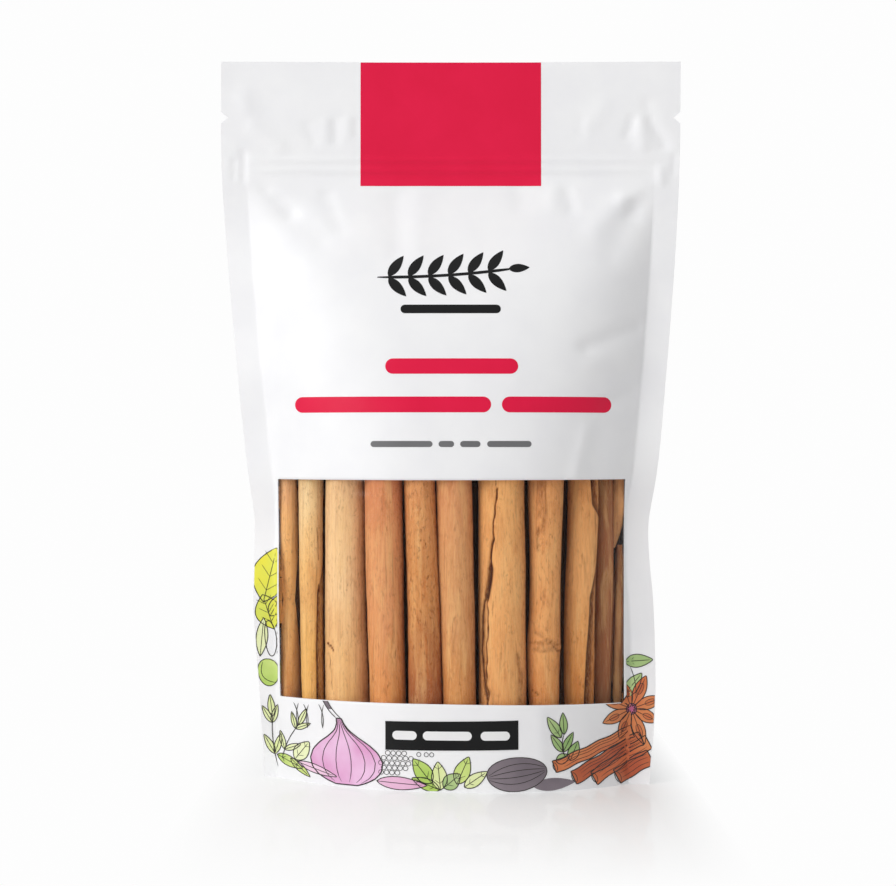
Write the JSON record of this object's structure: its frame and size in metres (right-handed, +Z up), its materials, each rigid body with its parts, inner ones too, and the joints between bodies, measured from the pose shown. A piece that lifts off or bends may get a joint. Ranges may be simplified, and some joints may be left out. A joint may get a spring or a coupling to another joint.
{
  "type": "stand-up pouch of cinnamon sticks",
  "caption": "White stand-up pouch with a zip ridge, tear notches and side seals, whose clear window shows a row of upright cinnamon sticks.",
  "frame": {"origin": "middle of the base outline, on the surface that the pouch stands on", "axes": "+Z up to the sealed head, -Y out of the front with the window, +X to the right as the front is seen"},
  "size_m": [0.1408, 0.0548, 0.22],
  "materials": {
    "pouch_film": "smooth white laminate film with a soft sheen",
    "clear_film": "clear glossy film",
    "cinnamon_bark": "dry bark with fine lengthwise fibres"
  },
  "bodies": {
    "root": {"pouch": "pouch_film", "window_film": "clear_film", "stick_01": "cinnamon_bark", "stick_02": "cinnamon_bark", "stick_03": "cinnamon_bark", "stick_04": "cinnamon_bark", "stick_05": "cinnamon_bark", "stick_06": "cinnamon_bark", "stick_07": "cinnamon_bark", "stick_08": "cinnamon_bark", "stick_09": "cinnamon_bark", "stick_10": "cinnamon_bark", "stick_11": "cinnamon_bark", "stick_12": "cinnamon_bark"}
  },
  "joints": []
}
